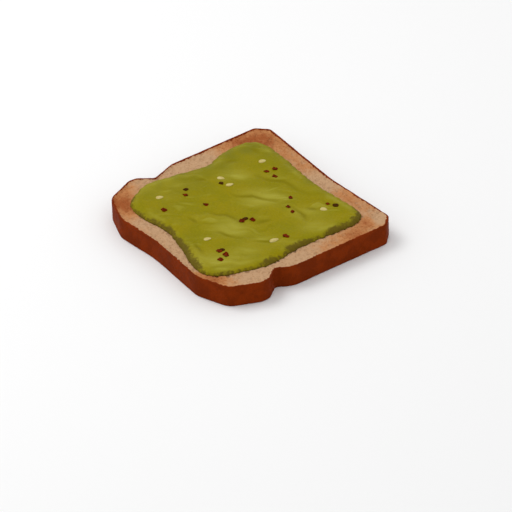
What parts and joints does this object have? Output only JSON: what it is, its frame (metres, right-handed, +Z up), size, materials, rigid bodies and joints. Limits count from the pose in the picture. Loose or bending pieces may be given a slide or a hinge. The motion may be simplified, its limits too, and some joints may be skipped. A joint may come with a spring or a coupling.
{
  "type": "avocado toast",
  "caption": "Toasted slice of white tin loaf spread with mashed avocado, sprinkled with chilli flakes, black pepper and sesame seeds.",
  "frame": {"origin": "centre of the slice's flat underside", "axes": "+Z up out of the spread face, -Y towards the slice's domed crown, +Y towards its flat base edge, X across its width"},
  "size_m": [0.12, 0.113, 0.0152],
  "materials": {
    "toast": "dry, porous, toasted",
    "avocado": "moist, soft sheen",
    "chilli": "dried, slightly waxy",
    "pepper": "dry, cracked",
    "sesame": "dry, satin"
  },
  "bodies": {
    "root": {"bread_slice": "toast", "avocado_spread": "avocado"}
  },
  "joints": []
}
